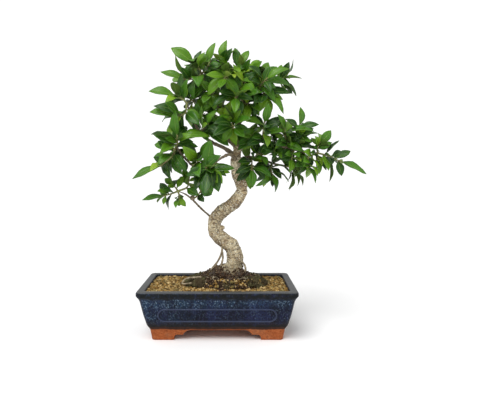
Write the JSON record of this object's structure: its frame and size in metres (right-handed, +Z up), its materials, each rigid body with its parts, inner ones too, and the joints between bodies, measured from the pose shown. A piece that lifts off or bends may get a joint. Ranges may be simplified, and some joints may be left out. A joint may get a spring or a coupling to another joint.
{
  "type": "bonsai tree in a pot",
  "caption": "Broad-leaved bonsai tree with an S-curved trunk, spreading leafy branches and surface roots, in a rectangular glazed pot with feet, gravel top dressing and moss.",
  "frame": {"origin": "on the surface that the pot's feet stand on, under the middle of the whole object's bounding box; the pot's own middle is 56 mm to the left of it and 13 mm to the front", "axes": "+Z up along the tree, +X to the right along the pot's long side seen from its front, so the front of the pot faces -Y"},
  "size_m": [0.3904, 0.2302, 0.501],
  "materials": {
    "glazed_clay": "dark blue streaked glaze over stoneware, with bare terracotta feet",
    "screen_plastic": "matte black mesh",
    "soil": "damp dark potting mix with fine roots",
    "gravel": "dry tan and ochre grains",
    "moss": "dull grey-green cushions with fine pale roots",
    "bark": "pale beige-grey bark with dense pale lenticels",
    "young_bark": "brown twig bark",
    "leaves": "glossy green leaf blades with a pale midrib"
  },
  "bodies": {
    "root": {"pot": "glazed_clay", "drain_screen_left": "screen_plastic", "drain_screen_right": "screen_plastic", "soil": "soil", "gravel_top_dressing": "gravel", "moss_patch_left": "moss", "moss_patch_right": "moss", "trunk": "bark", "branch_low_left": "young_bark", "branch_left": "young_bark", "branch_upper_left": "young_bark", "branch_crown_left": "young_bark", "branch_crown_centre": "young_bark", "branch_crown_right": "young_bark", "branch_right": "young_bark", "branch_lower_right": "young_bark", "branch_back": "young_bark", "branch_front": "young_bark", "branch_crown_back": "young_bark", "leaves_low_left_outer": "leaves", "leaves_low_left_middle": "leaves", "leaves_low_left_upper": "leaves", "leaves_low_left_inner": "leaves", "leaves_left_outer": "leaves", "leaves_left_lower": "leaves", "leaves_left_upper": "leaves", "leaves_left_inner": "leaves", "leaves_left_hanging": "leaves", "leaves_upper_left_outer": "leaves", "leaves_upper_left_tip": "leaves", "leaves_upper_left_inner": "leaves", "leaves_upper_left_low": "leaves", "leaves_crown_left_outer": "leaves", "leaves_crown_left_tip": "leaves", "leaves_crown_left_top": "leaves", "leaves_crown_left_back": "leaves", "leaves_crown_front": "leaves", "leaves_crown_top_left": "leaves", "leaves_crown_top": "leaves", "leaves_crown_low_front": "leaves", "leaves_crown_hanging": "leaves", "leaves_crown_right_front": "leaves", "leaves_crown_right_top": "leaves", "leaves_crown_right_tip": "leaves", "leaves_crown_right_low": "leaves", "leaves_right_inner": "leaves", "leaves_right_upper": "leaves", "leaves_right_shoot": "leaves", "leaves_right_outer": "leaves", "leaves_right_tip": "leaves", "leaves_right_low": "leaves", "leaves_right_back": "leaves", "leaves_lower_right_tip": "leaves", "leaves_lower_right_middle": "leaves", "leaves_lower_right_inner": "leaves", "leaves_back_tip": "leaves", "leaves_back_right": "leaves", "leaves_front_tip": "leaves", "leaves_crown_back_tip": "leaves", "leaves_crown_back_left": "leaves"}
  },
  "joints": []
}
